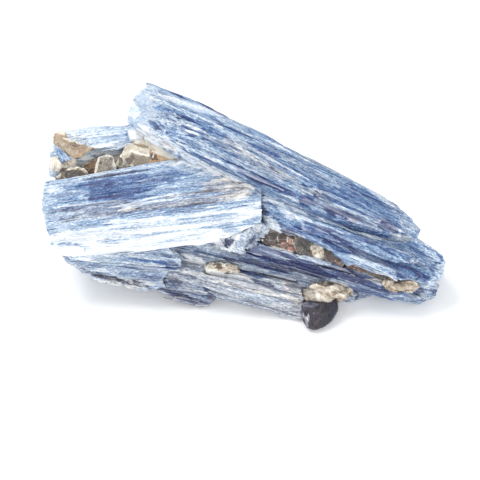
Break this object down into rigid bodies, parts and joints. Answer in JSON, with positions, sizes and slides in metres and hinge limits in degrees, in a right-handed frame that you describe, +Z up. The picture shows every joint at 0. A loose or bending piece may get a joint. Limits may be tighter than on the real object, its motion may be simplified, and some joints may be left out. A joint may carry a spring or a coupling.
{
  "type": "kyanite blade cluster",
  "caption": "Natural mineral specimen of long striated blue kyanite blades grown across one another, with mica and feldspar between them; rests on its broken lower edges for display.",
  "frame": {"origin": "on the ground under the middle of the cluster's box", "axes": "+X along the cluster, from the wide front blade to the end where the blades taper away; +Y from the broad front face to the back; +Z up"},
  "size_m": [0.0808, 0.0434, 0.0343],
  "materials": {
    "blue_kyanite": "satin",
    "pale_kyanite": "satin",
    "grey_kyanite": "satin",
    "dark_kyanite": "satin",
    "brown_mica": "gloss",
    "red_mica": "gloss",
    "silver_mica": "gloss",
    "feldspar": "matte",
    "dark_crystal": "satin"
  },
  "bodies": {
    "root": {"upper_blade": "blue_kyanite", "front_blade": "pale_kyanite", "red_mica_1": "red_mica", "red_mica_2": "red_mica", "pocket_feldspar": "feldspar", "red_mica_3": "red_mica", "red_mica_4": "red_mica", "feldspar_seam": "feldspar", "right_blade": "blue_kyanite", "broken_end": "pale_kyanite", "lower_left_blade": "blue_kyanite", "lower_right_blade": "dark_kyanite", "dark_crystal": "dark_crystal", "left_crust": "feldspar", "right_crust": "feldspar", "grey_blade": "grey_kyanite", "keel_blade": "dark_kyanite", "golden_mica": "brown_mica", "dark_mica": "brown_mica", "mica_plate_1": "brown_mica", "mica_plate_2": "silver_mica", "mica_plate_3": "silver_mica", "grey_mica": "silver_mica", "amber_mica": "brown_mica", "blue_chip": "blue_kyanite", "left_feldspar": "feldspar", "rear_left_blade": "pale_kyanite", "shaded_blade": "dark_kyanite", "rear_mica": "silver_mica", "rear_crust": "feldspar", "rear_foot_blade": "grey_kyanite", "rear_cross_blade": "pale_kyanite", "rear_top_blade": "blue_kyanite"}
  },
  "joints": []
}
